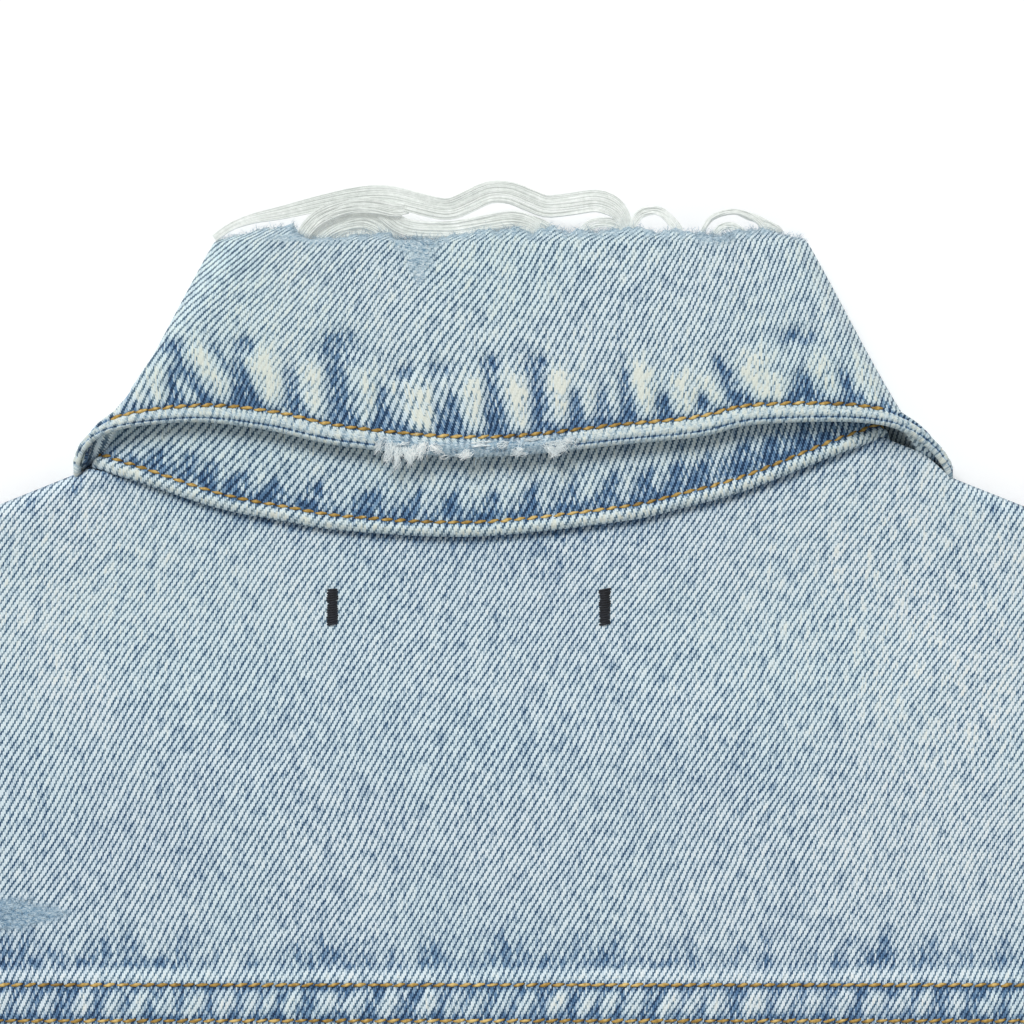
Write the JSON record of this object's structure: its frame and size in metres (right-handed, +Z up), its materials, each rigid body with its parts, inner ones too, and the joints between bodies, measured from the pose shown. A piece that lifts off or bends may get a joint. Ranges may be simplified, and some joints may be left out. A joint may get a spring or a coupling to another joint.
{
  "type": "trucker jacket",
  "caption": "Washed denim trucker jacket lying flat on its front, back upwards, with a worn folded collar, buttoned placket, flap pockets, waistband and cuffed sleeves.",
  "frame": {"origin": "under the middle of the bounding box, on the surface the jacket lies on", "axes": "+X towards the wearer's right sleeve, +Y from the hem to the collar, +Z up out of the back"},
  "size_m": [1.485, 0.698, 0.0171],
  "materials": {
    "denim": "stone-washed light blue twill",
    "collar_denim": "stone-washed light blue twill, faded more",
    "weft_yarn": "loose undyed cotton yarn",
    "button_metal": "antiqued, matt"
  },
  "bodies": {
    "root": {"back_centre": "denim", "back_side_left": "denim", "back_side_right": "denim", "back_yoke": "denim", "cuff_left": "denim", "cuff_right": "denim", "front_panel_left": "denim", "front_panel_right": "denim", "front_yoke_left": "denim", "front_yoke_right": "denim", "placket_button": "denim", "placket_buttonhole": "denim", "pocket_flap_left": "denim", "pocket_flap_right": "denim", "sleeve_back_inner_left": "denim", "sleeve_back_inner_right": "denim", "sleeve_back_outer_left": "denim", "sleeve_back_outer_right": "denim", "sleeve_front_left": "denim", "sleeve_front_right": "denim", "waistband_back": "denim", "waistband_front_left": "denim", "waistband_front_right": "denim", "collar_leaf": "collar_denim", "collar_stand": "collar_denim", "collar_fray": "weft_yarn", "cuff_button_left": "button_metal", "cuff_button_right": "button_metal", "flap_button_left": "button_metal", "flap_button_right": "button_metal", "front_button_1": "button_metal", "front_button_2": "button_metal", "front_button_3": "button_metal", "front_button_4": "button_metal", "front_button_5": "button_metal", "front_button_6": "button_metal"}
  },
  "joints": []
}
